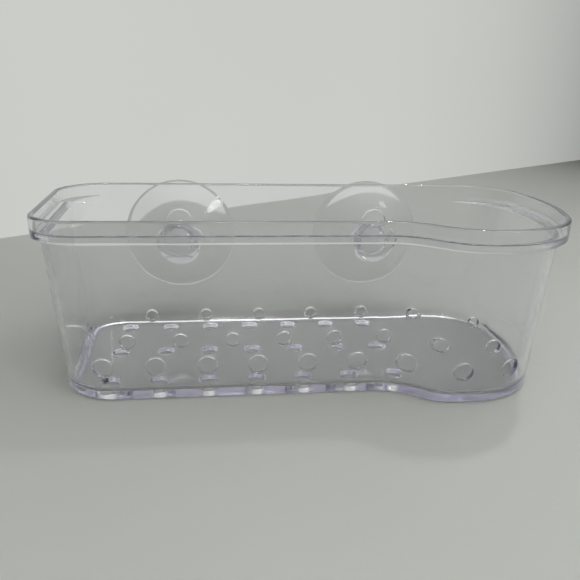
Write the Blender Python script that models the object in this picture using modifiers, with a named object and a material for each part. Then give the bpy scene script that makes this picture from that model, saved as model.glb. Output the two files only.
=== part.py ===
"""Suction shower caddy: a clear moulded basket on two soft suction cups.

The basket is one moulding: a drafted tray with a flat back wall, a round bottle lobe
that swells out of the front at its right end, and a rim band that steps outwards.
Three staggered rows of holes in the front wall grow larger towards the floor, and three
rows of drain holes cross the floor beside the lobe.  Two keyholes in the back wall hold
the necks of the suction cups, with the mushroom heads inside the basket.  The necks rest
in the wide slots; pushed up, they enter the round notches above and lock.

Metres, +Z up, the wall side towards +Y.  The sizes below are the driving dimensions.
"""

import math

import bmesh
import bpy
from mathutils import Matrix, Vector

# Basket, overall
BASKET_LENGTH = 0.253
BASKET_HEIGHT = 0.084
STRAIGHT_DEPTH = 0.104
LOBE_BULGE = 0.0175
WALL = 0.0025
FLOOR = 0.0028

# Basket, plan of the rim band
LEFT_BACK_RADIUS = 0.026
LEFT_FRONT_RADIUS = 0.022
WAIST_RADIUS = 0.024
LOBE_LEFT_RADIUS = 0.034
LOBE_RIGHT_RADIUS = 0.049
LOBE_FLAT = 0.001
RIGHT_SIDE_RADIUS = 0.120
RIGHT_BACK_RADIUS = 0.032
LEFT_SPLAY = math.radians(4.8)
WAIST_TURN = math.radians(40)
RIGHT_SPLAY = math.radians(18.8)
RIGHT_TOE = math.radians(6.4)

# Basket, section of the wall
BAND_HEIGHT = 0.0102
BAND_STEP = 0.004
BAND_ROUND = 0.0010
LEDGE_DEPTH = 0.0066
LEDGE_ROUND = 0.0008
STEP_SLOPE = 0.0003
RIM_ROUND = 0.0008
FOOT_ROUND = 0.0020
FLOOR_FILLET = 0.005

# Basket, how far the wall leans in from the band down to the foot
LEFT_DRAFT = 0.0035
FRONT_DRAFT = 0.004
LOBE_DRAFT = 0.008
RIGHT_DRAFT = 0.004
LEFT_FRONT_GROWTH = 0.007

# Basket, holes
HOLE_PITCH = 0.0229
HOLE_START = 0.0322
HOLE_END = 0.0365
LARGE_HOLE_RADIUS = 0.00425
MIDDLE_HOLE_RADIUS = 0.00315
SMALL_HOLE_RADIUS = 0.00220
LARGE_ROW_HEIGHT = 0.0165
HOLE_ROW_SPACING = 0.0126
DRAIN_HOLE_RADIUS = 0.00425
DRAIN_ROW_START = 0.014
DRAIN_ROW_END = 0.023
DRAIN_ROWS = 3
DRAIN_COLUMN_END = 0.0800

# Basket, keyholes
KEYHOLE_START = 0.0615
KEYHOLE_SPACING = 0.114
SLOT_HEIGHT = 0.0509
SLOT_RADIUS = 0.0066
SLOT_SPREAD = 0.0068
NOTCH_HEIGHT = 0.0620
NOTCH_RADIUS = 0.007

# Suction cup
CUP_RADIUS = 0.0325
CUP_REACH = 0.0193
CUP_HOLLOW = 0.0105
CUP_EDGE = 0.0012
LIP_FLAT = 0.0016
CUP_CLEARANCE = 0.0003
CUP_OFFSET = 0.0007
HUB_RADIUS = 0.0100
HUB_LENGTH = 0.004
HUB_ROUND = 0.0010
NECK_RADIUS = 0.0060
HEAD_RADIUS = 0.0115
HEAD_LENGTH = 0.0100
HEAD_SIDE = 0.0035
HEAD_ROUND = 0.0010

# The bell's curves, as powers of the share of the way out to the lip
HOLLOW_CURVE_SHARE = 2.0
BELL_CURVE_SHARE = 0.8

# Cuts run this far past the material, and turned seams close within the weld distance
CUT_OVERRUN = 0.002
WELD_DISTANCE = 0.00001

# How finely curves are divided
ARC_TURN = math.radians(10)
CUP_STEPS = 40
FILLET_STEPS = 3
HOLLOW_STEPS = 6
BELL_STEPS = 6
DOME_STEPS = 5
LARGE_HOLE_SIDES = 16
MIDDLE_HOLE_SIDES = 14
SMALL_HOLE_SIDES = 12
KEYHOLE_SIDES = 32
SMOOTH_ANGLE = math.radians(32)

# Directions that the sides of the plan face
BACK = math.pi / 2
LEFT = math.pi + LEFT_SPLAY
FRONT = math.pi * 3 / 2
SLANT = FRONT - WAIST_TURN
FULL_TURN = math.pi * 2
RIGHT = FULL_TURN - RIGHT_SPLAY
RIGHT_REAR = FULL_TURN + RIGHT_TOE

# Worked out from the sizes above
LEFT_END = -BASKET_LENGTH / 2
RIGHT_END = BASKET_LENGTH / 2
LOBE_DEPTH = STRAIGHT_DEPTH + LOBE_BULGE
BAND_FOOT = BASKET_HEIGHT - BAND_HEIGHT
LEDGE_TOP = BASKET_HEIGHT - LEDGE_DEPTH
LEFT_KEYHOLE = LEFT_END + KEYHOLE_START
RIGHT_KEYHOLE = LEFT_KEYHOLE + KEYHOLE_SPACING
CUP_HEIGHT = SLOT_HEIGHT - SLOT_RADIUS + CUP_CLEARANCE + NECK_RADIUS
FRAME_SHIFT = (LOBE_DEPTH - CUP_REACH) / 2
HALF_ROUND_SHARE = 1 - math.sqrt(0.5)


def clear_scene():
    """Remove every object that the new file starts with."""
    for thing in list(bpy.data.objects):
        bpy.data.objects.remove(thing, do_unlink=True)


def new_collection(name):
    """Add a collection to the scene."""
    collection = bpy.data.collections.new(name)
    bpy.context.scene.collection.children.link(collection)
    return collection


def plastic(name, colour, roughness, see_through):
    """Make a plain see-through plastic."""
    material = bpy.data.materials.new(name)
    material.use_nodes = True
    shader = material.node_tree.nodes["Principled BSDF"]
    shader.inputs["Base Color"].default_value = (*colour, 1.0)
    shader.inputs["Roughness"].default_value = roughness
    shader.inputs["Metallic"].default_value = 0.0
    shader.inputs["Alpha"].default_value = see_through
    material.diffuse_color = (*colour, see_through)
    return material


def arc(centre, radius, start, end):
    """Points of an arc, both ends included; the count follows the turn alone."""
    steps = max(2, round(abs(end - start) / ARC_TURN))
    points = []
    for step in range(steps + 1):
        angle = start + (end - start) * step / steps
        points.append((centre[0] + radius * math.cos(angle), centre[1] + radius * math.sin(angle)))
    return points


def reach(point, angle):
    """Distance of a point from the origin, measured in a direction."""
    return point[0] * math.cos(angle) + point[1] * math.sin(angle)


def meet(first, second, inwards):
    """Where two sides cross after both have moved inwards."""
    (angle, far), (other_angle, other_far) = first, second
    across = math.sin(other_angle - angle)
    far -= inwards
    other_far -= inwards
    x = (far * math.sin(other_angle) - other_far * math.sin(angle)) / across
    y = (other_far * math.cos(angle) - far * math.cos(other_angle)) / across
    return x, y


def rim_sides():
    """Direction and distance of each side of the rim band, anticlockwise from the back.

    The right side is one long arc, so it has two directions: where the arc leaves the
    lobe's corner and where it runs into the back corner.
    """
    left_back = (LEFT_END + LEFT_BACK_RADIUS, -LEFT_BACK_RADIUS)
    inset = RIGHT_SIDE_RADIUS - RIGHT_BACK_RADIUS
    side_centre = (RIGHT_END - RIGHT_SIDE_RADIUS, -RIGHT_BACK_RADIUS - inset * math.sin(RIGHT_TOE))
    left = (LEFT, reach(left_back, LEFT) + LEFT_BACK_RADIUS)
    lobe = (FRONT, LOBE_DEPTH)
    right = (RIGHT, reach(side_centre, RIGHT) + RIGHT_SIDE_RADIUS)
    right_rear = (RIGHT_REAR, reach(side_centre, RIGHT_REAR) + RIGHT_SIDE_RADIUS)
    lobe_right = meet(lobe, right, LOBE_RIGHT_RADIUS)
    lobe_left = (lobe_right[0] - LOBE_FLAT, LOBE_LEFT_RADIUS - LOBE_DEPTH)
    slant = (SLANT, reach(lobe_left, SLANT) + LOBE_LEFT_RADIUS)
    straight = (FRONT, STRAIGHT_DEPTH)
    return [(BACK, 0.0), left, straight, slant, lobe, right, right_rear, (BACK + FULL_TURN, 0.0)]


def plan_outline(step, share, offset):
    """Plan of the basket, anticlockwise from above, starting at the back left corner.

    The step pulls in every side but the back; the share says how much of the wall's draft
    is added to it, from none at the band to all at the foot.  The offset moves the whole
    outline inwards, the back too.
    """
    drafts = [0.0, LEFT_DRAFT, FRONT_DRAFT, FRONT_DRAFT, LOBE_DRAFT, RIGHT_DRAFT, RIGHT_DRAFT, 0.0]
    radii = [
        (LEFT_BACK_RADIUS, 0.0),
        (LEFT_FRONT_RADIUS, LEFT_FRONT_GROWTH),
        (-WAIST_RADIUS, -FRONT_DRAFT),
        (LOBE_LEFT_RADIUS, -LOBE_DRAFT),
        (LOBE_RIGHT_RADIUS, -LOBE_DRAFT),
        (RIGHT_SIDE_RADIUS, 0.0),
        (RIGHT_BACK_RADIUS, 0.0),
    ]
    sides = []
    for (angle, far), draft in zip(rim_sides(), drafts):
        pulled = step + draft * share if far else 0.0
        sides.append((angle, far - pulled))
    outline = []
    for first, second, (radius, growth) in zip(sides, sides[1:], radii):
        corner = radius - step + growth * share
        outline += arc(meet(first, second, corner), corner - offset, first[0], second[0])
    return outline


def foot_share(height):
    """Share of the draft at a height below the band."""
    return 1 - height / BAND_FOOT


def fillet_sections():
    """Sections down the round between the wall's inside and the floor."""
    sections = []
    for step in range(FILLET_STEPS + 1):
        angle = math.pi / 2 * step / FILLET_STEPS
        inwards = FLOOR_FILLET * (1 - math.cos(angle))
        height = FLOOR + FLOOR_FILLET * (1 - math.sin(angle))
        sections.append((BAND_STEP, foot_share(height), WALL + inwards, height))
    return sections


def basket_sections():
    """Step, share, offset and height of each section, up the outside and down the inside."""
    foot = FOOT_ROUND * HALF_ROUND_SHARE
    band = BAND_ROUND * HALF_ROUND_SHARE
    rim = RIM_ROUND * HALF_ROUND_SHARE
    band_low = BAND_FOOT + STEP_SLOPE
    ledge_low = LEDGE_TOP - STEP_SLOPE
    return [
        (BAND_STEP, 1.0, FOOT_ROUND, 0.0),
        (BAND_STEP, 1.0, foot, foot),
        (BAND_STEP, foot_share(FOOT_ROUND), 0.0, FOOT_ROUND),
        (BAND_STEP, 0.0, 0.0, BAND_FOOT),
        (BAND_ROUND, 0.0, 0.0, band_low),
        (band, 0.0, 0.0, band_low + band),
        (0.0, 0.0, 0.0, band_low + BAND_ROUND),
        (0.0, 0.0, 0.0, BASKET_HEIGHT - RIM_ROUND),
        (0.0, 0.0, rim, BASKET_HEIGHT - rim),
        (0.0, 0.0, RIM_ROUND, BASKET_HEIGHT),
        (0.0, 0.0, WALL - RIM_ROUND, BASKET_HEIGHT),
        (0.0, 0.0, WALL - rim, BASKET_HEIGHT - rim),
        (0.0, 0.0, WALL, BASKET_HEIGHT - RIM_ROUND),
        (0.0, 0.0, WALL, LEDGE_TOP),
        (BAND_STEP - LEDGE_ROUND, 0.0, WALL, ledge_low),
        (BAND_STEP, 0.0, WALL, ledge_low - LEDGE_ROUND),
    ] + fillet_sections()


def loft(sections):
    """Close a mesh over plan outlines that differ from section to section."""
    shell = bmesh.new()
    rings = []
    for step, share, offset, height in sections:
        outline = plan_outline(step, share, offset)
        rings.append([shell.verts.new((x, y, height)) for x, y in outline])
    for lower, upper in zip(rings, rings[1:]):
        for here in range(len(lower)):
            after = (here + 1) % len(lower)
            shell.faces.new((lower[here], lower[after], upper[after], upper[here]))
    shell.faces.new(rings[0])
    shell.faces.new(rings[-1])
    bmesh.ops.recalc_face_normals(shell, faces=shell.faces)
    return shell


def add_mesh(name, shape, collection, frame, material=None):
    """Turn a bmesh into an object that hangs from the caddy's frame."""
    mesh = bpy.data.meshes.new(name)
    shape.to_mesh(mesh)
    shape.free()
    thing = bpy.data.objects.new(name, mesh)
    collection.objects.link(thing)
    thing.parent = frame
    if material:
        mesh.materials.append(material)
    return thing


def add_holes(name, holes, collection, frame):
    """Make one cutter of holes.

    Each hole is a middle, an axis, a radius, a length, a side count and a spread.  The
    spread pulls the hole's two halves apart, which turns a round hole into a slot.
    """
    cutter = bmesh.new()
    for middle, axis, radius, length, sides, spread in holes:
        turn = Vector((0, 0, 1)).rotation_difference(Vector(axis)).to_matrix().to_4x4()
        half_side = Matrix.Rotation(math.pi / sides, 4, "Z")
        place = Matrix.Translation(middle) @ turn @ half_side
        made = bmesh.ops.create_cone(
            cutter, cap_ends=True, segments=sides, radius1=radius, radius2=radius, depth=length, matrix=place)
        spread = Vector(spread)
        for vert in made["verts"]:
            along = (vert.co - Vector(middle)).dot(spread)
            vert.co += spread * math.copysign(1, along)
    thing = add_mesh(name, cutter, collection, frame)
    thing.hide_render = True
    thing.display_type = "WIRE"
    return thing


def hole_columns(end):
    """Places of holes along the basket, at an even pitch, up to a distance from the right end."""
    first = LEFT_END + HOLE_START
    last = RIGHT_END - end
    count = int((last - first) / HOLE_PITCH) + 1
    return [first + HOLE_PITCH * column for column in range(count)]


def front_holes():
    """Three staggered rows of holes that shrink upwards, cut straight through the front wall."""
    outside = -LOBE_DEPTH - CUT_OVERRUN
    inside = BAND_STEP + FRONT_DRAFT + WALL - STRAIGHT_DEPTH + CUT_OVERRUN
    rows = (
        (LARGE_HOLE_RADIUS, LARGE_HOLE_SIDES),
        (MIDDLE_HOLE_RADIUS, MIDDLE_HOLE_SIDES),
        (SMALL_HOLE_RADIUS, SMALL_HOLE_SIDES),
    )
    columns = hole_columns(HOLE_END)
    holes = []
    for row, (radius, sides) in enumerate(rows):
        height = LARGE_ROW_HEIGHT + HOLE_ROW_SPACING * row
        for x in columns[:len(columns) - row]:
            middle = (x + HOLE_PITCH * row / 2, (outside + inside) / 2, height)
            holes.append((middle, (0, 1, 0), radius, inside - outside, sides, (0, 0, 0)))
    return holes


def drain_holes():
    """Rows of holes across the floor, in line with the large holes; the lobe has none."""
    length = FLOOR + 2 * CUT_OVERRUN
    spacing = (STRAIGHT_DEPTH - DRAIN_ROW_START - DRAIN_ROW_END) / (DRAIN_ROWS - 1)
    holes = []
    for row in range(DRAIN_ROWS):
        for x in hole_columns(DRAIN_COLUMN_END):
            middle = (x, -DRAIN_ROW_START - spacing * row, FLOOR / 2)
            holes.append((middle, (0, 0, 1), DRAIN_HOLE_RADIUS, length, LARGE_HOLE_SIDES, (0, 0, 0)))
    return holes


def keyhole_parts(height, radius, spread):
    """One part of both keyholes, cut through the back wall."""
    length = WALL + 2 * CUT_OVERRUN
    holes = []
    for x in (LEFT_KEYHOLE, RIGHT_KEYHOLE):
        holes.append(((x, -WALL / 2, height), (0, 1, 0), radius, length, KEYHOLE_SIDES, spread))
    return holes


def keyhole_notches():
    """The upright part of both keyholes, from inside the slot up to the round top."""
    low = SLOT_HEIGHT - SLOT_RADIUS + NOTCH_RADIUS + CUP_CLEARANCE
    rise = (NOTCH_HEIGHT - low) / 2
    return keyhole_parts(low + rise, NOTCH_RADIUS, (0, 0, rise))


def cut(body, cutter):
    """Take a cutter's shape out of a body."""
    modifier = body.modifiers.new("cut " + cutter.name, "BOOLEAN")
    modifier.operation = "DIFFERENCE"
    modifier.solver = "EXACT"
    modifier.object = cutter


def build_basket(parts, cutters, frame):
    """Mould the basket and cut its holes."""
    clear = plastic("clear_rigid_plastic", (0.80, 0.80, 0.88), 0.05, 0.35)
    basket = add_mesh("basket", loft(basket_sections()), parts, frame, clear)
    cuts = {
        "front_hole_cutter": front_holes(),
        "drain_hole_cutter": drain_holes(),
        "keyhole_slot_cutter": keyhole_parts(SLOT_HEIGHT, SLOT_RADIUS, (SLOT_SPREAD, 0, 0)),
        "keyhole_notch_cutter": keyhole_notches(),
    }
    for name, holes in cuts.items():
        cut(basket, add_holes(name, holes, cutters, frame))
    shade(basket)
    return basket


def cup_profile():
    """Half section of a cup: radius, and distance behind the basket's back face.

    It starts inside the hollow and runs over the lip, down the bell, the hub and the
    neck, and round the head to the axis.
    """
    lip_inside = CUP_RADIUS - LIP_FLAT
    profile = []
    for step in range(HOLLOW_STEPS + 1):
        share = step / HOLLOW_STEPS
        depth = CUP_HOLLOW * (1 - share ** HOLLOW_CURVE_SHARE)
        profile.append((lip_inside * share, CUP_REACH - depth))
    profile.append((CUP_RADIUS, CUP_REACH))
    bell_rise = CUP_REACH - CUP_EDGE - HUB_LENGTH
    for step in range(BELL_STEPS + 1):
        share = 1 - step / BELL_STEPS
        radius = HUB_RADIUS + (CUP_RADIUS - HUB_RADIUS) * share
        profile.append((radius, HUB_LENGTH + bell_rise * share ** BELL_CURVE_SHARE))
    head_back = -(WALL + CUP_CLEARANCE)
    dome_back = head_back - HEAD_SIDE
    profile += [
        (HUB_RADIUS, CUP_CLEARANCE + HUB_ROUND),
        (HUB_RADIUS - HUB_ROUND, CUP_CLEARANCE),
        (NECK_RADIUS, CUP_CLEARANCE),
        (NECK_RADIUS, head_back),
        (HEAD_RADIUS - HEAD_ROUND, head_back),
        (HEAD_RADIUS, head_back - HEAD_ROUND),
    ]
    for step in range(DOME_STEPS + 1):
        angle = math.pi / 2 * step / DOME_STEPS
        bulge = (HEAD_LENGTH - HEAD_SIDE) * math.sin(angle)
        profile.append((HEAD_RADIUS * math.cos(angle), dome_back - bulge))
    profile[-1] = (0.0, head_back - HEAD_LENGTH)
    return profile


def build_cup(name, x, parts, frame, material):
    """Turn one suction cup about its own axis, its neck resting in the keyhole's slot."""
    section = bmesh.new()
    points = [section.verts.new((radius, 0, along)) for radius, along in cup_profile()]
    for first, second in zip(points, points[1:]):
        section.edges.new((first, second))
    cup = add_mesh(name, section, parts, frame, material)
    cup.location = (x - CUP_OFFSET, 0, CUP_HEIGHT)
    cup.rotation_euler = (-math.pi / 2, 0, 0)
    turned = cup.modifiers.new("turned", "SCREW")
    turned.axis = "Z"
    turned.angle = 2 * math.pi
    turned.steps = CUP_STEPS
    turned.render_steps = CUP_STEPS
    turned.use_merge_vertices = True
    turned.merge_threshold = WELD_DISTANCE
    turned.use_smooth_shade = True
    return cup


def shade(thing):
    """Shade round surfaces smooth and keep the edges."""
    thing.data.shade_smooth()
    thing.data.set_sharp_from_angle(angle=SMOOTH_ANGLE)


def main():
    clear_scene()
    parts = new_collection("suction_shower_caddy")
    cutters = new_collection("cutters")
    frame = bpy.data.objects.new("caddy_frame", None)
    frame.location = (0, FRAME_SHIFT, 0)
    parts.objects.link(frame)
    build_basket(parts, cutters, frame)
    soft = plastic("clear_soft_plastic", (0.86, 0.87, 0.86), 0.15, 0.45)
    build_cup("left_suction_cup", LEFT_KEYHOLE, parts, frame, soft)
    build_cup("right_suction_cup", RIGHT_KEYHOLE, parts, frame, soft)


main()
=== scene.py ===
"""Suction shower caddy: the clear basket and its two suction cups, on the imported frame.

The basket is one clear moulding with a rim band, an inner ledge, a round bottle lobe and
rows of holes. The cups are soft clear mouldings with mushroom heads. Metres, +Z up, in
the frame's own coordinates.
"""

import logging
import math
from dataclasses import dataclass
from enum import Enum
from typing import Any, Iterable, NamedTuple, Union

import bmesh
import bpy
import numpy as np
from mathutils import Matrix, Vector

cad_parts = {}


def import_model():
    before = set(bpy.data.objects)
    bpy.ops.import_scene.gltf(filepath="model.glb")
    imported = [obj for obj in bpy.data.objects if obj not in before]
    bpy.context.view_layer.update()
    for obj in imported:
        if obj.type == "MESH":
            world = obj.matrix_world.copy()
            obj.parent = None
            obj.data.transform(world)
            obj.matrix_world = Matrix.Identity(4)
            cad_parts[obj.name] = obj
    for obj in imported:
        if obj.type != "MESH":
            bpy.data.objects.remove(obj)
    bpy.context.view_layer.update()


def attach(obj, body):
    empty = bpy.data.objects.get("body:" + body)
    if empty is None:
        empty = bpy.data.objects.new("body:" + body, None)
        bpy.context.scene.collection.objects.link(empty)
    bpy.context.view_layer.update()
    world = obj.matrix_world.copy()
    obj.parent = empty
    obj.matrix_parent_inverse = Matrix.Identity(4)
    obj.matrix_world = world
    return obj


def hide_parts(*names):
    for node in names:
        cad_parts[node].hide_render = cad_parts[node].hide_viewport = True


log = logging.getLogger("caddy")

# How far the basket's back face stands behind the frame's middle
BACK_FACE = 0.0511
# How far to the left of its keyhole each cup hangs
CUP_OFFSET = 0.0007
# Turned seams closer than this are merged
WELD_DISTANCE = 1e-7
# Edges that turn by more than this, in degrees, stay sharp
SHARP_ANGLE = 40
# How strongly large faces steer the normals of the roundings beside them
FLAT_FACE_WEIGHT = 50
# A length this small counts as none
NO_LENGTH = 1e-12

Point = tuple[float, float]
Colour = tuple[float, float, float]
# A node's input or output, by number or name
Socket = Union[int, str]


class Surface(Enum):
    """Which side of the basket's wall a line runs on."""

    OUTSIDE = "outside"
    INSIDE = "inside"


class Wire:
    """A node socket that adds Math nodes when it is used in an expression."""

    def __init__(self, bench: "Bench", socket: bpy.types.NodeSocket) -> None:
        """Keep the socket and the bench that its nodes stand on."""
        self.bench = bench
        self.socket = socket

    def _math(self, operation: str, first: Any, second: Any) -> "Wire":
        """Add one Math node for two numbers or wires, and take its value."""
        node = self.bench.add("ShaderNodeMath", {"operation": operation}, {0: first, 1: second})
        return Wire(self.bench, node.outputs[0])

    def __add__(self, other: Any) -> "Wire":
        """Add a number or a wire."""
        return self._math("ADD", self, other)

    __radd__ = __add__

    def __sub__(self, other: Any) -> "Wire":
        """Take away a number or a wire."""
        return self._math("SUBTRACT", self, other)

    def __rsub__(self, other: Any) -> "Wire":
        """Take this from a number."""
        return self._math("SUBTRACT", other, self)

    def __mul__(self, other: Any) -> "Wire":
        """Multiply by a number or a wire."""
        return self._math("MULTIPLY", self, other)

    __rmul__ = __mul__

    def at_least(self, other: Any) -> "Wire":
        """Take the larger of this and another."""
        return self._math("MAXIMUM", self, other)


class Bench:
    """A node tree to which nodes are added one call at a time."""

    def __init__(self, tree: bpy.types.NodeTree) -> None:
        """Clear the tree."""
        self.tree = tree
        tree.nodes.clear()

    def add(self, kind: str, settings: dict[str, Any], values: dict[Socket, Any]) -> bpy.types.Node:
        """Add a node.

        Args:
            kind: The node's type.
            settings: Its properties, which are set first.
            values: Numbers, colours, wires or sockets by input name or number.

        Returns:
            The node.
        """
        node = self.tree.nodes.new(kind)
        for name, value in settings.items():
            setattr(node, name, value)
        for name, value in values.items():
            if isinstance(value, Wire):
                value = value.socket
            if isinstance(value, bpy.types.NodeSocket):
                self.tree.links.new(value, node.inputs[name])
            else:
                node.inputs[name].default_value = value
        return node

    def wire(self, node: bpy.types.Node, output: Socket = 0) -> Wire:
        """Take one output of a node as a wire."""
        return Wire(self, node.outputs[output])

    def place(self) -> bpy.types.NodeSocket:
        """Object coordinates."""
        return self.add("ShaderNodeTexCoord", {}, {}).outputs["Object"]

    def noise(self, size: float, detail: float, where: bpy.types.NodeSocket, rough: float = 0.5) -> Wire:
        """Soft noise from 0 to 1.

        Args:
            size: Size of its features, in metres.
            detail: How many finer layers are added.
            where: Coordinates.
            rough: Strength of the finer layers.

        Returns:
            The noise.
        """
        node = self.add(
            "ShaderNodeTexNoise",
            {},
            {"Vector": where, "Scale": 1 / size, "Detail": detail, "Roughness": rough})
        return self.wire(node, "Fac")

    def limits(self, value: Wire, source: Point, target: Point) -> Wire:
        """Map a value from one range to another, kept within it.

        Args:
            value: The value.
            source: Its range.
            target: The range that it is mapped to.

        Returns:
            The mapped value.
        """
        node = self.add(
            "ShaderNodeMapRange",
            {"clamp": True},
            {
                "Value": value,
                "From Min": source[0],
                "From Max": source[1],
                "To Min": target[0],
                "To Max": target[1],
            })
        return self.wire(node, "Result")

    def blend(self, share: Wire, first: Any, second: Any) -> bpy.types.NodeSocket:
        """Mix two colours by the share of the second, on the Mix node's sockets for colours."""
        node = self.add("ShaderNodeMix", {"data_type": "RGBA"}, {0: share, 6: first, 7: second})
        return node.outputs[2]


def opaque(colour: Colour) -> tuple[float, float, float, float]:
    """Give a colour full alpha."""
    return (*colour, 1.0)


def new_material(name: str) -> tuple[bpy.types.Material, Bench]:
    """Start a material with an empty node tree.

    Args:
        name: Its name.

    Returns:
        The material, and a bench for its nodes.
    """
    material = bpy.data.materials.new(name)
    material.use_nodes = True
    return material, Bench(material.node_tree)


@dataclass(frozen=True)
class ClearPlastic:
    """A see-through moulded plastic.

    Its tint comes from the depth of plastic that light crosses, so thick edges look darker
    than walls.
    """

    name: str
    colour: Colour
    depth_colour: Colour
    depth_density: float
    index: float
    polish: Point
    clearness: float
    smear_size: float
    wave_size: float
    wave_height: float
    smear_detail: float = 4.0
    smear_rough: float = 0.6
    smear_range: Point = (0.35, 0.7)
    wave_detail: float = 1.0

    def make(self) -> bpy.types.Material:
        """Build the node tree.

        Returns:
            The material.
        """
        material, bench = new_material(self.name)
        where = bench.place()
        smears = bench.noise(self.smear_size, self.smear_detail, where, self.smear_rough)
        waves = bench.noise(self.wave_size, self.wave_detail, where)
        bump = bench.add(
            "ShaderNodeBump", {}, {"Strength": 1.0, "Distance": self.wave_height, "Height": waves})
        plastic = bench.add(
            "ShaderNodeBsdfPrincipled",
            {},
            {
                "Base Color": opaque(self.colour),
                "Roughness": bench.limits(smears, self.smear_range, self.polish),
                "IOR": self.index,
                "Transmission Weight": self.clearness,
                "Normal": bump.outputs["Normal"],
            })
        depth = bench.add(
            "ShaderNodeVolumeAbsorption",
            {},
            {"Color": opaque(self.depth_colour), "Density": self.depth_density})
        bench.add(
            "ShaderNodeOutputMaterial", {}, {"Surface": plastic.outputs[0], "Volume": depth.outputs[0]})
        return material


@dataclass(frozen=True)
class PaleSheet:
    """A plain pale matt surface of the studio.

    Its colour darkens away from a line across it, which is painted shade for light that
    falls off to the sides: painted_shade_fall gives the line's place along X and the
    distances between which it darkens. With glow_share at 1, rays from the camera, glossy
    rays and rays through the plastic meet its colour glowing, painted shade included,
    without its own light and shade.
    """

    name: str
    colour: Colour
    patch_colour: Colour
    painted_shade_colour: Colour
    painted_shade_fall: tuple[float, float, float]
    patch_size: float
    grain_height: float
    glow_share: float
    patch_range: Point = (0.3, 0.7)
    detail: float = 3.0
    grain_size: float = 0.0025
    grain_strength: float = 0.3
    roughness: float = 0.8
    gloss: float = 0.2

    def make(self) -> bpy.types.Material:
        """Build the node tree.

        Returns:
            The material.
        """
        material, bench = new_material(self.name)
        where = bench.place()
        patches = bench.limits(
            bench.noise(self.patch_size, self.detail, where), self.patch_range, (0.0, 1.0))
        near = bench.blend(patches, opaque(self.colour), opaque(self.patch_colour))
        parts = bench.add("ShaderNodeSeparateXYZ", {}, {"Vector": where})
        # Painted shade: away from a line along X the colour darkens towards a darker colour, standing in for
        # light that falls off to the sides
        middle, start, end = self.painted_shade_fall
        aside = bench.wire(parts, "X") - middle
        far = bench.limits(aside * aside, (start * start, end * end), (0.0, 1.0))
        colour = bench.blend(far, near, opaque(self.painted_shade_colour))
        grain = bench.noise(self.grain_size, self.detail, where)
        bump = bench.add(
            "ShaderNodeBump",
            {},
            {"Strength": self.grain_strength, "Distance": self.grain_height, "Height": grain})
        matt = bench.add(
            "ShaderNodeBsdfPrincipled",
            {},
            {
                "Base Color": colour,
                "Roughness": self.roughness,
                "Specular IOR Level": self.gloss,
                "Normal": bump.outputs["Normal"],
            })
        # The sheet glows with its colour, painted shade included, for rays from the camera, glossy rays and
        # rays through the plastic
        flat = bench.add(
            "ShaderNodeBsdfPrincipled",
            {},
            {
                "Base Color": opaque((0.0, 0.0, 0.0)),
                "Specular IOR Level": 0.0,
                "Emission Color": colour,
                "Emission Strength": 1.0,
            })
        rays = bench.add("ShaderNodeLightPath", {}, {})
        seen = bench.wire(rays, "Is Camera Ray").at_least(bench.wire(rays, "Is Glossy Ray"))
        seen = seen.at_least(bench.wire(rays, "Is Transmission Ray")) * self.glow_share
        mixed = bench.add("ShaderNodeMixShader", {}, {0: seen, 1: matt.outputs[0], 2: flat.outputs[0]})
        bench.add("ShaderNodeOutputMaterial", {}, {"Surface": mixed.outputs[0]})
        return material


def quarter(first: float, last: float, steps: int) -> list[Point]:
    """Sine and cosine along part of a quarter turn, both ends included.

    Args:
        first: Where it starts, in degrees.
        last: Where it ends, in degrees.
        steps: How many steps it takes.

    Returns:
        Pairs of sine and cosine.
    """
    angles = [math.radians(first + (last - first) * step / steps) for step in range(steps + 1)]
    return [(math.sin(angle), math.cos(angle)) for angle in angles]


def add_object(name: str, shape: bmesh.types.BMesh) -> bpy.types.Object:
    """Turn a bmesh into an object at the origin.

    Args:
        name: Name of the object and its mesh.
        shape: The bmesh, which is freed.

    Returns:
        The object.
    """
    mesh = bpy.data.meshes.new(name)
    shape.to_mesh(mesh)
    shape.free()
    thing = bpy.data.objects.new(name, mesh)
    bpy.context.scene.collection.objects.link(thing)
    return thing


def spin_profile(
        shape: bmesh.types.BMesh,
        profile: Iterable[Point],
        steps: int,
        place: Matrix) -> list[bmesh.types.BMVert]:
    """Turn a profile about its axis into a closed body.

    Args:
        shape: Where the body is added.
        profile: Radius and distance along the axis, from axis to axis.
        steps: How many steps the turn takes.
        place: Where the body goes; its axis is the local Z.

    Returns:
        The body's vertices.
    """
    before = set(shape.verts)
    points = [shape.verts.new((radius, 0.0, along)) for radius, along in profile]
    edges = [shape.edges.new(pair) for pair in zip(points, points[1:])]
    bmesh.ops.spin(
        shape,
        geom=points + edges,
        cent=(0, 0, 0),
        axis=(0, 0, 1),
        dvec=(0, 0, 0),
        angle=2 * math.pi,
        steps=steps,
        use_merge=True,
        use_duplicate=False)
    made = [vert for vert in shape.verts if vert not in before]
    bmesh.ops.remove_doubles(shape, verts=made, dist=WELD_DISTANCE)
    made = [vert for vert in shape.verts if vert not in before]
    faces = {face for vert in made for face in vert.link_faces}
    bmesh.ops.recalc_face_normals(shape, faces=list(faces))
    bmesh.ops.transform(shape, matrix=place, verts=made)
    return made


def shade(thing: bpy.types.Object) -> None:
    """Shade a mesh smooth apart from its sharp edges, and keep flat faces flat.

    Args:
        thing: The mesh's object.
    """
    thing.data.shade_smooth()
    thing.data.set_sharp_from_angle(angle=math.radians(SHARP_ANGLE))
    modifier = thing.modifiers.new("weighed_normals", "WEIGHTED_NORMAL")
    modifier.mode = "FACE_AREA"
    modifier.weight = FLAT_FACE_WEIGHT
    modifier.keep_sharp = True


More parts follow.
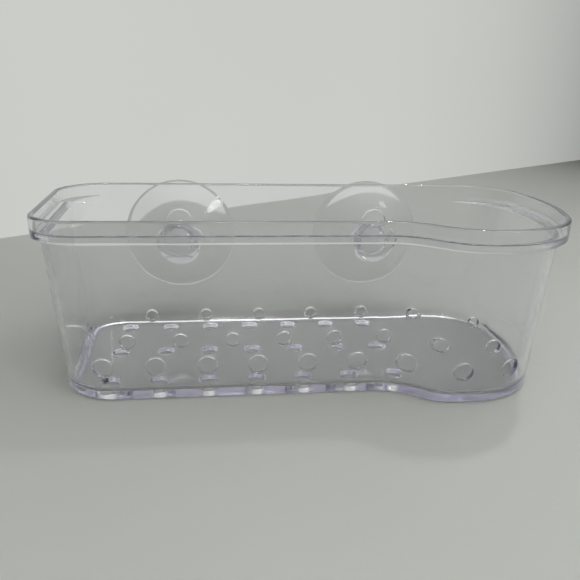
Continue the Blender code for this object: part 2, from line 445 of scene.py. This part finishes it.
def settle(thing: bpy.types.Object) -> None:
    """Replace an object's mesh with what its modifiers make of it.

    Args:
        thing: The object.
    """
    graph = bpy.context.evaluated_depsgraph_get()
    result = bpy.data.meshes.new_from_object(thing.evaluated_get(graph))
    old = thing.data
    result.name = thing.name
    thing.modifiers.clear()
    thing.data = result
    bpy.data.meshes.remove(old)


class Section(NamedTuple):
    """One level of the basket's wall.

    The step moves every side but the back inwards, the share is that of the draft, and the
    offset moves the whole outline inwards.
    """

    step: float
    share: float
    offset: float
    height: float


@dataclass
class Basket:
    """The clear basket, in metres, measured from its back face and the middle of its length."""

    finish: ClearPlastic
    length: float = 0.253
    height: float = 0.084
    straight_depth: float = 0.104
    lobe_bulge: float = 0.0175
    wall: float = 0.0025
    floor: float = 0.0028
    left_back_radius: float = 0.026
    left_front_radius: float = 0.022
    waist_radius: float = 0.024
    lobe_left_radius: float = 0.034
    lobe_right_radius: float = 0.049
    lobe_flat: float = 0.001
    right_side_radius: float = 0.120
    right_back_radius: float = 0.032
    left_splay: float = 4.8
    waist_turn: float = 40.0
    right_splay: float = 18.8
    right_toe: float = 6.4
    band_height: float = 0.0102
    band_step: float = 0.004
    band_round: float = 0.0013
    band_fillet: float = 0.0006
    ledge_depth: float = 0.0066
    ledge_round: float = 0.0010
    ledge_fillet: float = 0.0005
    step_slope: float = 0.0003
    rim_round: float = 0.00115
    foot_round: float = 0.0020
    floor_fillet: float = 0.005
    left_draft: float = 0.0035
    front_draft: float = 0.004
    lobe_draft: float = 0.008
    right_draft: float = 0.004
    left_front_growth: float = 0.007
    hole_pitch: float = 0.0229
    hole_start: float = 0.0322
    hole_end: float = 0.0365
    hole_radii: tuple[float, float, float] = (0.00425, 0.00315, 0.00220)
    large_row_height: float = 0.0165
    hole_row_spacing: float = 0.0126
    drain_radius: float = 0.00425
    drain_row_start: float = 0.014
    drain_row_end: float = 0.023
    drain_rows: int = 3
    drain_column_end: float = 0.0800
    keyhole_start: float = 0.0615
    keyhole_spacing: float = 0.114
    slot_height: float = 0.0509
    slot_radius: float = 0.0066
    slot_spread: float = 0.0068
    notch_height: float = 0.0620
    notch_radius: float = 0.007
    notch_play: float = 0.0003
    hole_edge: float = 0.0006
    hole_edge_turn: float = 60.0
    cutter_flare: tuple[Point, Point] = ((3.0, -2.0), (2.0, -0.27))
    arc_length: float = 0.0012
    least_steps: int = 12
    foot_steps: int = 8
    fillet_steps: int = 12
    round_steps: int = 5
    corner_steps: int = 3
    large_hole_steps: int = 48
    small_hole_steps: int = 36
    keyhole_steps: int = 64

    @property
    def band_foot(self) -> float:
        """Height of the band's lower edge."""
        return self.height - self.band_height

    @property
    def lobe_depth(self) -> float:
        """How far the lobe reaches from the back face."""
        return self.straight_depth + self.lobe_bulge

    def keyholes(self) -> Point:
        """Places of the two keyholes along the basket."""
        left = self.keyhole_start - self.length / 2
        return left, left + self.keyhole_spacing

    @staticmethod
    def arc(centre: Point, radius: float, start: float, end: float, steps: int) -> list[Point]:
        """Points of an arc of the plan.

        Args:
            centre: Its centre.
            radius: Its radius, negative where the wall bends inwards.
            start: First direction, in radians.
            end: Last direction, in radians.
            steps: How many steps it takes.

        Returns:
            The points, both ends included.
        """
        angles = [start + (end - start) * step / steps for step in range(steps + 1)]
        return [
            (centre[0] + radius * math.cos(angle), centre[1] + radius * math.sin(angle)) for angle in angles]

    @staticmethod
    def reach(point: Point, angle: float) -> float:
        """How far a point lies in a direction."""
        return point[0] * math.cos(angle) + point[1] * math.sin(angle)

    @staticmethod
    def meet(first: Point, second: Point, inwards: float) -> Point:
        """Where two sides of the plan cross.

        Args:
            first: Direction and distance of one side.
            second: Direction and distance of the next side.
            inwards: How far both have moved in.

        Returns:
            The crossing.
        """
        (angle, far), (other_angle, other_far) = first, second
        across = math.sin(other_angle - angle)
        far -= inwards
        other_far -= inwards
        return (
            (far * math.sin(other_angle) - other_far * math.sin(angle)) / across,
            (other_far * math.cos(angle) - far * math.cos(other_angle)) / across,
        )

    def sides(self) -> list[Point]:
        """Find the sides of the rim, anticlockwise from the back.

        Returns:
            Direction and distance of each side.
        """
        back, front = math.pi / 2, math.pi * 3 / 2
        left_way = math.pi + math.radians(self.left_splay)
        slant_way = front - math.radians(self.waist_turn)
        right_way = math.pi * 2 - math.radians(self.right_splay)
        rear_way = math.pi * 2 + math.radians(self.right_toe)
        left_back = (self.left_back_radius - self.length / 2, -self.left_back_radius)
        inset = self.right_side_radius - self.right_back_radius
        side_centre = (
            self.length / 2 - self.right_side_radius, -self.right_back_radius - inset * math.sin(rear_way))
        left = (left_way, self.reach(left_back, left_way) + self.left_back_radius)
        lobe = (front, self.lobe_depth)
        right = (right_way, self.reach(side_centre, right_way) + self.right_side_radius)
        right_rear = (rear_way, self.reach(side_centre, rear_way) + self.right_side_radius)
        lobe_right = self.meet(lobe, right, self.lobe_right_radius)
        lobe_left = (lobe_right[0] - self.lobe_flat, self.lobe_left_radius - self.lobe_depth)
        slant = (slant_way, self.reach(lobe_left, slant_way) + self.lobe_left_radius)
        straight = (front, self.straight_depth)
        return [(back, 0.0), left, straight, slant, lobe, right, right_rear, (back + 2 * math.pi, 0.0)]

    def outline(self, section: Section) -> list[Point]:
        """Plan of the basket at one section, anticlockwise from the back left corner.

        Args:
            section: The section.

        Returns:
            The points.
        """
        # How far each side leans in, in the order of the sides
        drafts = (
            0.0, self.left_draft, self.front_draft, self.front_draft, self.lobe_draft,
            self.right_draft, self.right_draft, 0.0)
        # Each corner's radius at the rim, and what the full draft adds to it
        corners = (
            (self.left_back_radius, 0.0),
            (self.left_front_radius, self.left_front_growth),
            (-self.waist_radius, -self.front_draft),
            (self.lobe_left_radius, -self.lobe_draft),
            (self.lobe_right_radius, -self.lobe_draft),
            (self.right_side_radius, 0.0),
            (self.right_back_radius, 0.0),
        )
        sides = []
        for (angle, far), draft in zip(self.sides(), drafts):
            pulled = section.step + draft * section.share if far else 0.0
            sides.append((angle, far - pulled))
        points = []
        for first, second, (radius, growth) in zip(sides, sides[1:], corners):
            corner = radius - section.step + growth * section.share
            centre = self.meet(first, second, corner)
            length = abs((second[0] - first[0]) * radius)
            steps = max(self.least_steps, round(length / self.arc_length))
            points += self.arc(centre, corner - section.offset, first[0], second[0], steps)
        return points

    def lean(self, height: float) -> float:
        """Share of the draft at a height below the band."""
        return 1 - height / self.band_foot

    def sections(self) -> list[Section]:
        """Find the wall's levels, up the outside, over the rim and down the inside to the floor.

        Returns:
            The sections in order.
        """
        step, wall, top = self.band_step, self.wall, self.height
        band_low = self.band_foot + self.step_slope
        ledge_top = top - self.ledge_depth
        ledge_low = ledge_top - self.step_slope
        levels = []
        # The round of the foot
        for sine, cosine in quarter(0, 90, self.foot_steps):
            height = self.foot_round * (1 - cosine)
            levels.append(Section(step, self.lean(height), self.foot_round * (1 - sine), height))
        # The inner corner under the band
        for sine, cosine in quarter(0, 90, self.corner_steps):
            inner = self.band_fillet
            height = self.band_foot - inner * (1 - sine)
            levels.append(Section(step - inner * (1 - cosine), 0.0, 0.0, height))
        # The band's lower edge
        for sine, cosine in quarter(0, 90, self.round_steps):
            outer = self.band_round
            levels.append(Section(outer * (1 - sine), 0.0, 0.0, band_low + outer * (1 - cosine)))
        # The rim's outer edge
        for sine, cosine in quarter(0, 90, self.round_steps):
            edge = self.rim_round
            levels.append(Section(0.0, 0.0, edge * (1 - cosine), top - edge * (1 - sine)))
        # The rim's inner edge
        for sine, cosine in quarter(90, 0, self.round_steps):
            edge = self.rim_round
            levels.append(Section(0.0, 0.0, wall - edge * (1 - cosine), top - edge * (1 - sine)))
        # The inner corner over the ledge
        for sine, cosine in quarter(0, 90, self.corner_steps):
            inner = self.ledge_fillet
            levels.append(Section(inner * (1 - cosine), 0.0, wall, ledge_top + inner * (1 - sine)))
        # The ledge's edge
        for sine, cosine in quarter(0, 90, self.round_steps):
            outer = self.ledge_round
            height = ledge_low - outer * (1 - cosine)
            levels.append(Section(step - outer * (1 - sine), 0.0, wall, height))
        # The fillet round the floor
        for sine, cosine in quarter(0, 90, self.fillet_steps):
            inner = self.floor_fillet
            height = self.floor + inner * (1 - sine)
            levels.append(Section(step, self.lean(height), wall + inner * (1 - cosine), height))
        return levels

    def shell(self) -> bpy.types.Object:
        """Raise the wall from the underside's outline, section by section, and close the floor.

        Returns:
            The basket without its holes.
        """
        shape = bmesh.new()
        levels = self.sections()
        ring = [shape.verts.new((x, y, levels[0].height)) for x, y in self.outline(levels[0])]
        edges = [shape.edges.new((here, after)) for here, after in zip(ring, ring[1:] + ring[:1])]
        bmesh.ops.contextual_create(shape, geom=edges)
        for level in levels[1:]:
            made = bmesh.ops.extrude_edge_only(shape, edges=edges)["geom"]
            edges = [part for part in made if isinstance(part, bmesh.types.BMEdge)]
            fresh = {part for part in made if isinstance(part, bmesh.types.BMVert)}
            risen = []
            for vert, (x, y) in zip(ring, self.outline(level)):
                (above,) = {edge.other_vert(vert) for edge in vert.link_edges} & fresh
                above.co = (x, y, level.height)
                risen.append(above)
            ring = risen
        bmesh.ops.contextual_create(shape, geom=edges)
        bmesh.ops.recalc_face_normals(shape, faces=shape.faces)
        return add_object("clear_basket", shape)

    def wall_lines(self, surface: Surface) -> tuple[np.ndarray, np.ndarray]:
        """Plan of the wall at the underside and under the band.

        Args:
            surface: The wall's outer or inner side.

        Returns:
            Both outlines, point for point.
        """
        offset = self.wall if surface is Surface.INSIDE else 0.0
        low, high = (
            np.array(self.outline(Section(self.band_step, self.lean(height), offset, height)))
            for height in (0.0, self.band_foot))
        return low, high

    def hole_profile(self, radius: float, thickness: float) -> list[Point]:
        """Profile of a hole's cutter, with rounded edges where it leaves the wall.

        Past the wall it flares out: each step of cutter_flare says how far out and how deep,
        in shares of hole_edge.

        Args:
            radius: Radius of the hole.
            thickness: Thickness of the wall, from 0 at its near side.

        Returns:
            Radius and depth, from axis to axis.
        """
        edge = self.hole_edge
        near = [(0.0, edge * self.cutter_flare[0][1])]
        near += [(radius + edge * out, edge * depth) for out, depth in self.cutter_flare]
        for sine, cosine in quarter(self.hole_edge_turn, 0, self.corner_steps):
            near.append((radius + edge * (1 - cosine), edge * (1 - sine)))
        return near + [(out, thickness - depth) for out, depth in reversed(near)]

    @staticmethod
    def cut(body: bpy.types.Object, cutter: bmesh.types.BMesh, name: str) -> None:
        """Take a cutter's shape out of a body.

        Args:
            body: The body.
            cutter: The cutter, which is used up.
            name: The cutter's name.
        """
        bmesh.ops.recalc_face_normals(cutter, faces=cutter.faces)
        tool = add_object(name, cutter)
        modifier = body.modifiers.new(name, "BOOLEAN")
        modifier.operation = "DIFFERENCE"
        modifier.solver = "EXACT"
        modifier.object = tool
        settle(body)
        bpy.data.objects.remove(tool)

    def cut_front_holes(self, body: bpy.types.Object) -> None:
        """Cut the three staggered rows straight through the front wall.

        Each row has one hole fewer than the row below it and stands half a pitch further on.
        The cutters' ends follow the wall, so that every hole has an even rounded edge.

        Args:
            body: The basket.
        """
        cutter = bmesh.new()
        lines = {surface: self.wall_lines(surface) for surface in Surface}
        columns = self.columns(self.hole_end)
        for row, radius in enumerate(self.hole_radii):
            height = self.large_row_height + self.hole_row_spacing * row
            steps = self.large_hole_steps if row == 0 else self.small_hole_steps
            for column in columns[:len(columns) - row]:
                place = Matrix.Translation((column + self.hole_pitch * row / 2, 0, height))
                turn = Matrix.Rotation(-math.pi / 2, 4, "X")
                for vert in spin_profile(cutter, self.hole_profile(radius, 1.0), steps, place @ turn):
                    self.lay_on_wall(vert, lines)
        self.cut(body, cutter, "front_hole_cutter")

    def lay_on_wall(
            self, vert: bmesh.types.BMVert, lines: dict[Surface, tuple[np.ndarray, np.ndarray]]) -> None:
        """Move a front cutter's vertex to its side of the wall.

        Args:
            vert: The vertex, whose depth runs from 0 outside to 1 inside.
            lines: The wall's outlines by surface.
        """
        near = vert.co.y < 0.5
        low, high = lines[Surface.OUTSIDE if near else Surface.INSIDE]
        points = low + (high - low) * (vert.co.z / self.band_foot)
        line = points[points[:, 0].argmin():points[:, 0].argmax() + 1]
        depth = vert.co.y if near else vert.co.y - 1.0
        vert.co.y = float(np.interp(vert.co.x, line[:, 0], line[:, 1])) + depth

    def columns(self, end: float) -> list[float]:
        """Place the columns of holes along the basket.

        Args:
            end: Distance from the right end that the last column keeps.

        Returns:
            Each column's place.
        """
        first = self.hole_start - self.length / 2
        last = self.length / 2 - end
        count = int((last - first) / self.hole_pitch) + 1
        return [first + self.hole_pitch * column for column in range(count)]

    def cut_drain_holes(self, body: bpy.types.Object) -> None:
        """Cut the rows of drain holes through the floor.

        Args:
            body: The basket.
        """
        cutter = bmesh.new()
        profile = self.hole_profile(self.drain_radius, self.floor)
        depth = self.straight_depth - self.drain_row_start - self.drain_row_end
        spacing = depth / (self.drain_rows - 1)
        for row in range(self.drain_rows):
            for x in self.columns(self.drain_column_end):
                place = Matrix.Translation((x, -self.drain_row_start - spacing * row, 0))
                spin_profile(cutter, profile, self.large_hole_steps, place)
        self.cut(body, cutter, "drain_hole_cutter")

    def cut_keyholes(self, body: bpy.types.Object) -> None:
        """Cut both keyholes: a wide slot, and a round-topped notch that rises from it.

        Args:
            body: The basket.
        """
        low = self.slot_height - self.slot_radius + self.notch_radius + self.notch_play
        rise = (self.notch_height - low) / 2
        parts = (
            (self.slot_height, self.slot_radius, Vector((self.slot_spread, 0, 0)), "slot_cutter"),
            (low + rise, self.notch_radius, Vector((0, 0, rise)), "notch_cutter"),
        )
        for height, radius, spread, name in parts:
            cutter = bmesh.new()
            profile = self.hole_profile(radius, self.wall)
            for x in self.keyholes():
                place = Matrix.Translation((x, -self.wall, height)) @ Matrix.Rotation(-math.pi / 2, 4, "X")
                turn = Matrix.Rotation(math.pi / self.keyhole_steps, 4, "Z")
                centre = Vector((x, 0, height))
                # The two halves of the round move apart by the spread
                for vert in spin_profile(cutter, profile, self.keyhole_steps, place @ turn):
                    side = (vert.co - centre).dot(spread)
                    if abs(side) > NO_LENGTH:
                        vert.co += spread * math.copysign(1, side)
            self.cut(body, cutter, name)

    def build(self) -> bpy.types.Object:
        """Mould the basket, cut its holes and give it its finish.

        Returns:
            The basket.
        """
        body = self.shell()
        self.cut_front_holes(body)
        self.cut_drain_holes(body)
        self.cut_keyholes(body)
        body.data.transform(Matrix.Translation((0, BACK_FACE, 0)))
        shade(body)
        body.data.materials.clear()
        body.data.materials.append(self.finish.make())
        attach(body, "basket")
        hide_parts("basket")
        return body


@dataclass
class SuctionCup:
    """One soft suction cup, turned about its own axis, in metres."""

    name: str
    node: str
    x: float
    finish: bpy.types.Material
    height: float = 0.0506
    radius: float = 0.0325
    reach: float = 0.0193
    hollow: float = 0.0105
    edge: float = 0.0012
    lip_flat: float = 0.0016
    lip_round: float = 0.0004
    clearance: float = 0.0003
    wall: float = 0.0025
    hub_radius: float = 0.0100
    hub_length: float = 0.004
    hub_round: float = 0.0010
    neck_radius: float = 0.0060
    head_radius: float = 0.0115
    head_length: float = 0.0100
    head_side: float = 0.0035
    head_round: float = 0.0010
    hollow_curve: float = 2.0
    bell_curve: float = 0.8
    bell_steps: int = 24
    lip_steps: int = 3
    round_steps: int = 4
    dome_steps: int = 18
    turn_steps: int = 96

    def profile(self) -> list[Point]:
        """Half section from the hollow over the lip, the bell, the hub, the neck and the head.

        Returns:
            Radius, and distance behind the basket's back face.
        """
        lip = self.radius - self.lip_flat
        points = []
        # The hollow, from the axis to the lip
        for step in range(self.bell_steps + 1):
            share = step / self.bell_steps
            points.append((lip * share, self.reach - self.hollow * (1 - share ** self.hollow_curve)))
        # The lip's outer edge
        for sine, cosine in quarter(0, 90, self.lip_steps):
            corner = self.lip_round
            points.append((self.radius - corner * (1 - sine), self.reach - corner * (1 - cosine)))
        # The bell, from the lip to the hub
        rise = self.reach - self.edge - self.hub_length
        for step in range(self.bell_steps):
            share = 1 - step / self.bell_steps
            points.append((
                self.hub_radius + (self.radius - self.hub_radius) * share,
                self.hub_length + rise * share ** self.bell_curve))
        points.append((self.hub_radius, self.hub_length))
        # The hub's edge by the basket
        for sine, cosine in quarter(90, 0, self.round_steps):
            corner = self.hub_round
            points.append((
                self.hub_radius - corner * (1 - sine), self.clearance + corner * (1 - cosine)))
        # The neck, through the basket's wall
        head_back = -(self.wall + self.clearance)
        points += [(self.neck_radius, self.clearance), (self.neck_radius, head_back)]
        # The head's edge by the wall
        for sine, cosine in quarter(0, 90, self.round_steps):
            corner = self.head_round
            points.append((self.head_radius - corner * (1 - sine), head_back - corner * (1 - cosine)))
        # The head's dome, down to the axis
        dome = self.head_length - self.head_side
        for sine, cosine in quarter(0, 90, self.dome_steps):
            points.append((self.head_radius * cosine, head_back - self.head_side - dome * sine))
        points[-1] = (0.0, head_back - self.head_length)
        return points

    def build(self) -> bpy.types.Object:
        """Turn the cup and give it its finish.

        Returns:
            The cup.
        """
        shape = bmesh.new()
        place = Matrix.Translation((self.x, BACK_FACE, self.height))
        turn = Matrix.Rotation(-math.pi / 2, 4, "X")
        spin_profile(shape, self.profile(), self.turn_steps, place @ turn)
        cup = add_object(self.name, shape)
        shade(cup)
        cup.data.materials.append(self.finish)
        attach(cup, self.node)
        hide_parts(self.node)
        return cup


class Window(NamedTuple):
    """A bright round patch of the sky: its direction, inner and outer half angle, and strength."""

    towards: tuple[float, float, float]
    inner: float
    outer: float
    strength: float


@dataclass
class Studio:
    """The floor, the backdrop, the light and the camera."""

    floor_finish: PaleSheet
    wall_finish: PaleSheet
    sheet_size: float = 4.0
    sheet_parts: int = 4
    air_gap: float = 0.0003
    wall_start: Point = (-0.2447, 0.2680)
    wall_end: Point = (0.8007, 1.0297)
    wall_middle: float = 0.3
    wall_foot: float = -0.001
    camera_place: tuple[float, float, float] = (-0.04175, -0.2845, 0.1335)
    nearest: float = 0.01
    yaw: float = 7.094
    pitch: float = 18.698
    roll: float = 1.459
    focal_pixels: float = 581.58
    picture: float = 580.0
    sensor: float = 36.0
    bounces: int = 48
    sky_colour: Colour = (1.0, 1.0, 0.985)
    sky_heights: Point = (0.05, 0.75)
    sky_glow: Point = (0.18, 1.59)
    sky_sides: Point = (-0.9, 0.5)
    sky_side_glow: Point = (0.4, 1.0)
    windows: tuple[Window, ...] = (
        Window((0.27, 0.36, 0.89), 4.0, 5.2, 90.0),
        Window((-0.55, 0.10, 0.83), 5.0, 9.0, 4.5),
        Window((0.02, -0.15, 0.99), 3.0, 5.0, 12.0),
    )
    lamp_towards: tuple[float, float, float] = (0.60, -0.66, 0.45)
    lamp_far: float = 1.2
    lamp_size: float = 0.2
    lamp_power: float = 1.0
    lamp_colour: Colour = (1.0, 0.99, 0.97)

    def build_floor(self) -> None:
        """Lay the floor."""
        shape = bmesh.new()
        bmesh.ops.create_grid(
            shape,
            x_segments=self.sheet_parts,
            y_segments=self.sheet_parts,
            size=self.sheet_size,
            matrix=Matrix.Translation((0, 0, -self.air_gap)))
        floor = add_object("studio_floor", shape)
        floor.data.materials.append(self.floor_finish.make())

    def build_wall(self) -> None:
        """Stand the backdrop along its line on the floor."""
        start, end = Vector(self.wall_start), Vector(self.wall_end)
        along = (end - start).normalized()
        shape = bmesh.new()
        bmesh.ops.create_grid(
            shape, x_segments=self.sheet_parts, y_segments=self.sheet_parts, size=self.sheet_size)
        middle = start + along * self.wall_middle
        place = Matrix.Translation((middle.x, middle.y, 0))
        turn = Matrix.Rotation(math.atan2(along.y, along.x), 4, "Z") @ Matrix.Rotation(math.pi / 2, 4, "X")
        bmesh.ops.transform(shape, matrix=place @ turn, verts=shape.verts)
        bmesh.ops.bisect_plane(
            shape,
            geom=shape.verts[:] + shape.edges[:] + shape.faces[:],
            plane_co=(0, 0, self.wall_foot),
            plane_no=(0, 0, -1),
            clear_outer=True)
        wall = add_object("studio_wall", shape)
        wall.data.materials.append(self.wall_finish.make())

    def hang_lamp(self) -> None:
        """Hang a square area lamp that faces the caddy from the front."""
        data = bpy.data.lights.new("lamp_front", "AREA")
        data.shape = "SQUARE"
        data.size = self.lamp_size
        data.energy = self.lamp_power
        data.color = self.lamp_colour
        lamp = bpy.data.objects.new("lamp_front", data)
        way = Vector(self.lamp_towards).normalized()
        turn = way.to_track_quat("Z", "Y").to_matrix().to_4x4()
        lamp.matrix_world = Matrix.Translation(way * self.lamp_far) @ turn
        bpy.context.scene.collection.objects.link(lamp)

    def light_sky(self) -> None:
        """Give the world a soft light that grows with height, and its bright windows."""
        world = bpy.data.worlds.new("studio_world")
        bpy.context.scene.world = world
        world.use_nodes = True
        bench = Bench(world.node_tree)
        where = bench.add("ShaderNodeTexCoord", {}, {})
        parts = bench.add("ShaderNodeSeparateXYZ", {}, {"Vector": where.outputs["Generated"]})
        height = bench.limits(bench.wire(parts, "Z"), self.sky_heights, self.sky_glow)
        side = bench.limits(bench.wire(parts, "X"), self.sky_sides, self.sky_side_glow)
        glow = height * side
        for window in self.windows:
            facing = bench.add(
                "ShaderNodeVectorMath",
                {"operation": "DOT_PRODUCT"},
                {0: where.outputs["Generated"], 1: Vector(window.towards).normalized()})
            edges = (math.cos(math.radians(window.outer)), math.cos(math.radians(window.inner)))
            glow = glow + bench.limits(bench.wire(facing, "Value"), edges, (0.0, window.strength))
        back = bench.add("ShaderNodeBackground", {}, {"Color": opaque(self.sky_colour), "Strength": glow})
        bench.add("ShaderNodeOutputWorld", {}, {"Surface": back.outputs[0]})

    def aim_camera(self) -> None:
        """Stand the camera where the photograph was taken."""
        yaw, pitch, roll = (math.radians(angle) for angle in (self.yaw, self.pitch, self.roll))
        ahead = Vector((
            math.sin(yaw) * math.cos(pitch), math.cos(yaw) * math.cos(pitch), -math.sin(pitch)))
        level = Vector((math.cos(yaw), -math.sin(yaw), 0.0))
        upright = level.cross(ahead)
        right = level * math.cos(roll) + upright * math.sin(roll)
        up = upright * math.cos(roll) - level * math.sin(roll)
        data = bpy.data.cameras.new("camera")
        data.sensor_width = self.sensor
        data.lens = self.sensor * self.focal_pixels / self.picture
        data.clip_start = self.nearest
        camera = bpy.data.objects.new("camera", data)
        axes = Matrix((right, up, -ahead)).transposed().to_4x4()
        camera.matrix_world = Matrix.Translation(self.camera_place) @ axes
        bpy.context.scene.collection.objects.link(camera)
        bpy.context.scene.camera = camera

    def build(self) -> None:
        """Set the whole studio up."""
        self.aim_camera()
        self.build_floor()
        self.build_wall()
        self.light_sky()
        self.hang_lamp()
        scene = bpy.context.scene
        scene.view_settings.view_transform = "Standard"
        scene.cycles.max_bounces = self.bounces
        scene.cycles.glossy_bounces = self.bounces
        scene.cycles.transmission_bounces = self.bounces
        scene.cycles.transparent_max_bounces = self.bounces


BASKET_PLASTIC = ClearPlastic(
    name="clear_rigid_plastic",
    colour=(0.985, 0.985, 0.995),
    depth_colour=(0.56, 0.53, 0.675),
    depth_density=14.0,
    index=1.49,
    polish=(0.015, 0.05),
    clearness=1.0,
    smear_size=0.03,
    wave_size=0.03,
    wave_height=0.00015,
)
CUP_PLASTIC = ClearPlastic(
    name="clear_soft_plastic",
    colour=(0.97, 0.975, 0.97),
    depth_colour=(0.25, 0.30, 0.50),
    depth_density=10.0,
    index=1.50,
    polish=(0.05, 0.12),
    clearness=0.97,
    smear_size=0.02,
    wave_size=0.02,
    wave_height=0.0002,
)
FLOOR_SHEET = PaleSheet(
    name="pale_floor",
    colour=(0.45, 0.46, 0.44),
    patch_colour=(0.43, 0.44, 0.42),
    # Painted shade: away from its middle the floor darkens towards this colour, standing in for light that
    # falls off
    painted_shade_colour=(0.14, 0.147, 0.134),
    painted_shade_fall=(0.05, 0.26, 0.75),
    patch_size=0.25,
    grain_height=0.0002,
    glow_share=0.0,
)
WALL_SHEET = PaleSheet(
    name="pale_wall",
    colour=(0.60, 0.62, 0.585),
    patch_colour=(0.58, 0.60, 0.565),
    # Painted shade: away from its middle the backdrop darkens towards this colour, standing in for light
    # that falls off to the sides
    painted_shade_colour=(0.36, 0.375, 0.355),
    painted_shade_fall=(0.0, 0.20, 0.80),
    patch_size=0.6,
    grain_height=0.0001,
    glow_share=1.0,
)


def main() -> None:
    """Build the studio, the basket and the cups, and report each piece."""
    logging.basicConfig(level=logging.INFO, format="%(name)s: %(message)s")
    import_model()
    Studio(FLOOR_SHEET, WALL_SHEET).build()
    basket = Basket(BASKET_PLASTIC)
    left, right = basket.keyholes()
    cup_finish = CUP_PLASTIC.make()
    pieces = [
        basket.build(),
        SuctionCup("left_cup", "left_suction_cup", left - CUP_OFFSET, cup_finish).build(),
        SuctionCup("right_cup", "right_suction_cup", right - CUP_OFFSET, cup_finish).build(),
    ]
    for piece in pieces:
        log.info("%s: %d faces", piece.name, len(piece.data.polygons))


if __name__ == "__main__":
    main()
